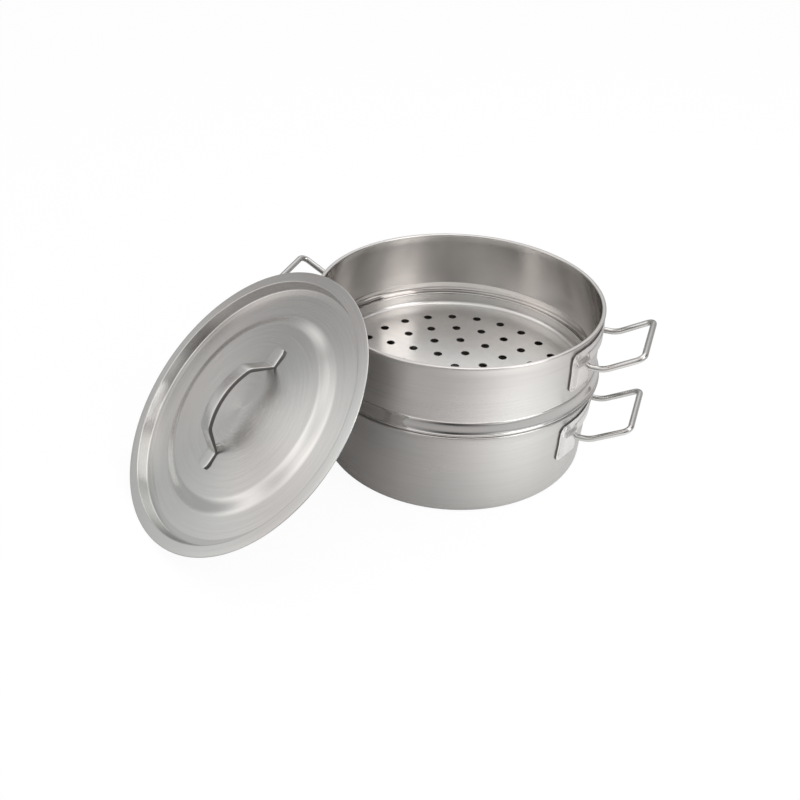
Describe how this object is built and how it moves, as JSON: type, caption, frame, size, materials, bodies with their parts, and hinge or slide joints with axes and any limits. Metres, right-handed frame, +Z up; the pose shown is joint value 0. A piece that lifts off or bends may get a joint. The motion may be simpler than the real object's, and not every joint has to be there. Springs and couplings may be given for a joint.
{
  "type": "stainless steel steamer pot",
  "caption": "Stainless steel pot with a perforated steamer nested on its rim, looped wire side handles, and a lid with a strap handle leaning against it.",
  "frame": {"origin": "centre of the pot's base, on the floor", "axes": "+Z up along the pot's axis, +X towards the right-hand wire handles, -Y towards the side where the lid leans"},
  "size_m": [0.4759, 0.4389, 0.1978],
  "materials": {
    "vessel_steel": "satin brushed around the wall",
    "bracket_steel": "pressed sheet, semi bright",
    "wire_steel": "polished wire",
    "lid_steel": "satin, turned",
    "strap_steel": "satin strap"
  },
  "bodies": {
    "pot": {"pot_body": "vessel_steel", "pot_bracket_right": "bracket_steel", "pot_bracket_left": "bracket_steel", "pot_handle_right": "wire_steel", "pot_handle_left": "wire_steel"},
    "steamer": {"steamer_body": "vessel_steel", "steamer_bracket_right": "bracket_steel", "steamer_bracket_left": "bracket_steel", "steamer_handle_right": "wire_steel", "steamer_handle_left": "wire_steel"},
    "lid": {"lid_shell": "lid_steel", "lid_handle": "strap_steel"}
  },
  "joints": [
    {"name": "steamer_lift", "type": "slide", "parent": "pot", "child": "steamer", "axis": [0, 0, 1], "range_m": [0, 0.1]},
    {"name": "lid_slide", "type": "slide", "parent": "pot", "child": "lid", "axis": [-0.6455, -0.7638, 0], "range_m": [0, 0.125]}
  ],
  "couplings": [
    {"joint": "lid_slide", "follows": "steamer_lift", "ratio": 1.25}
  ]
}
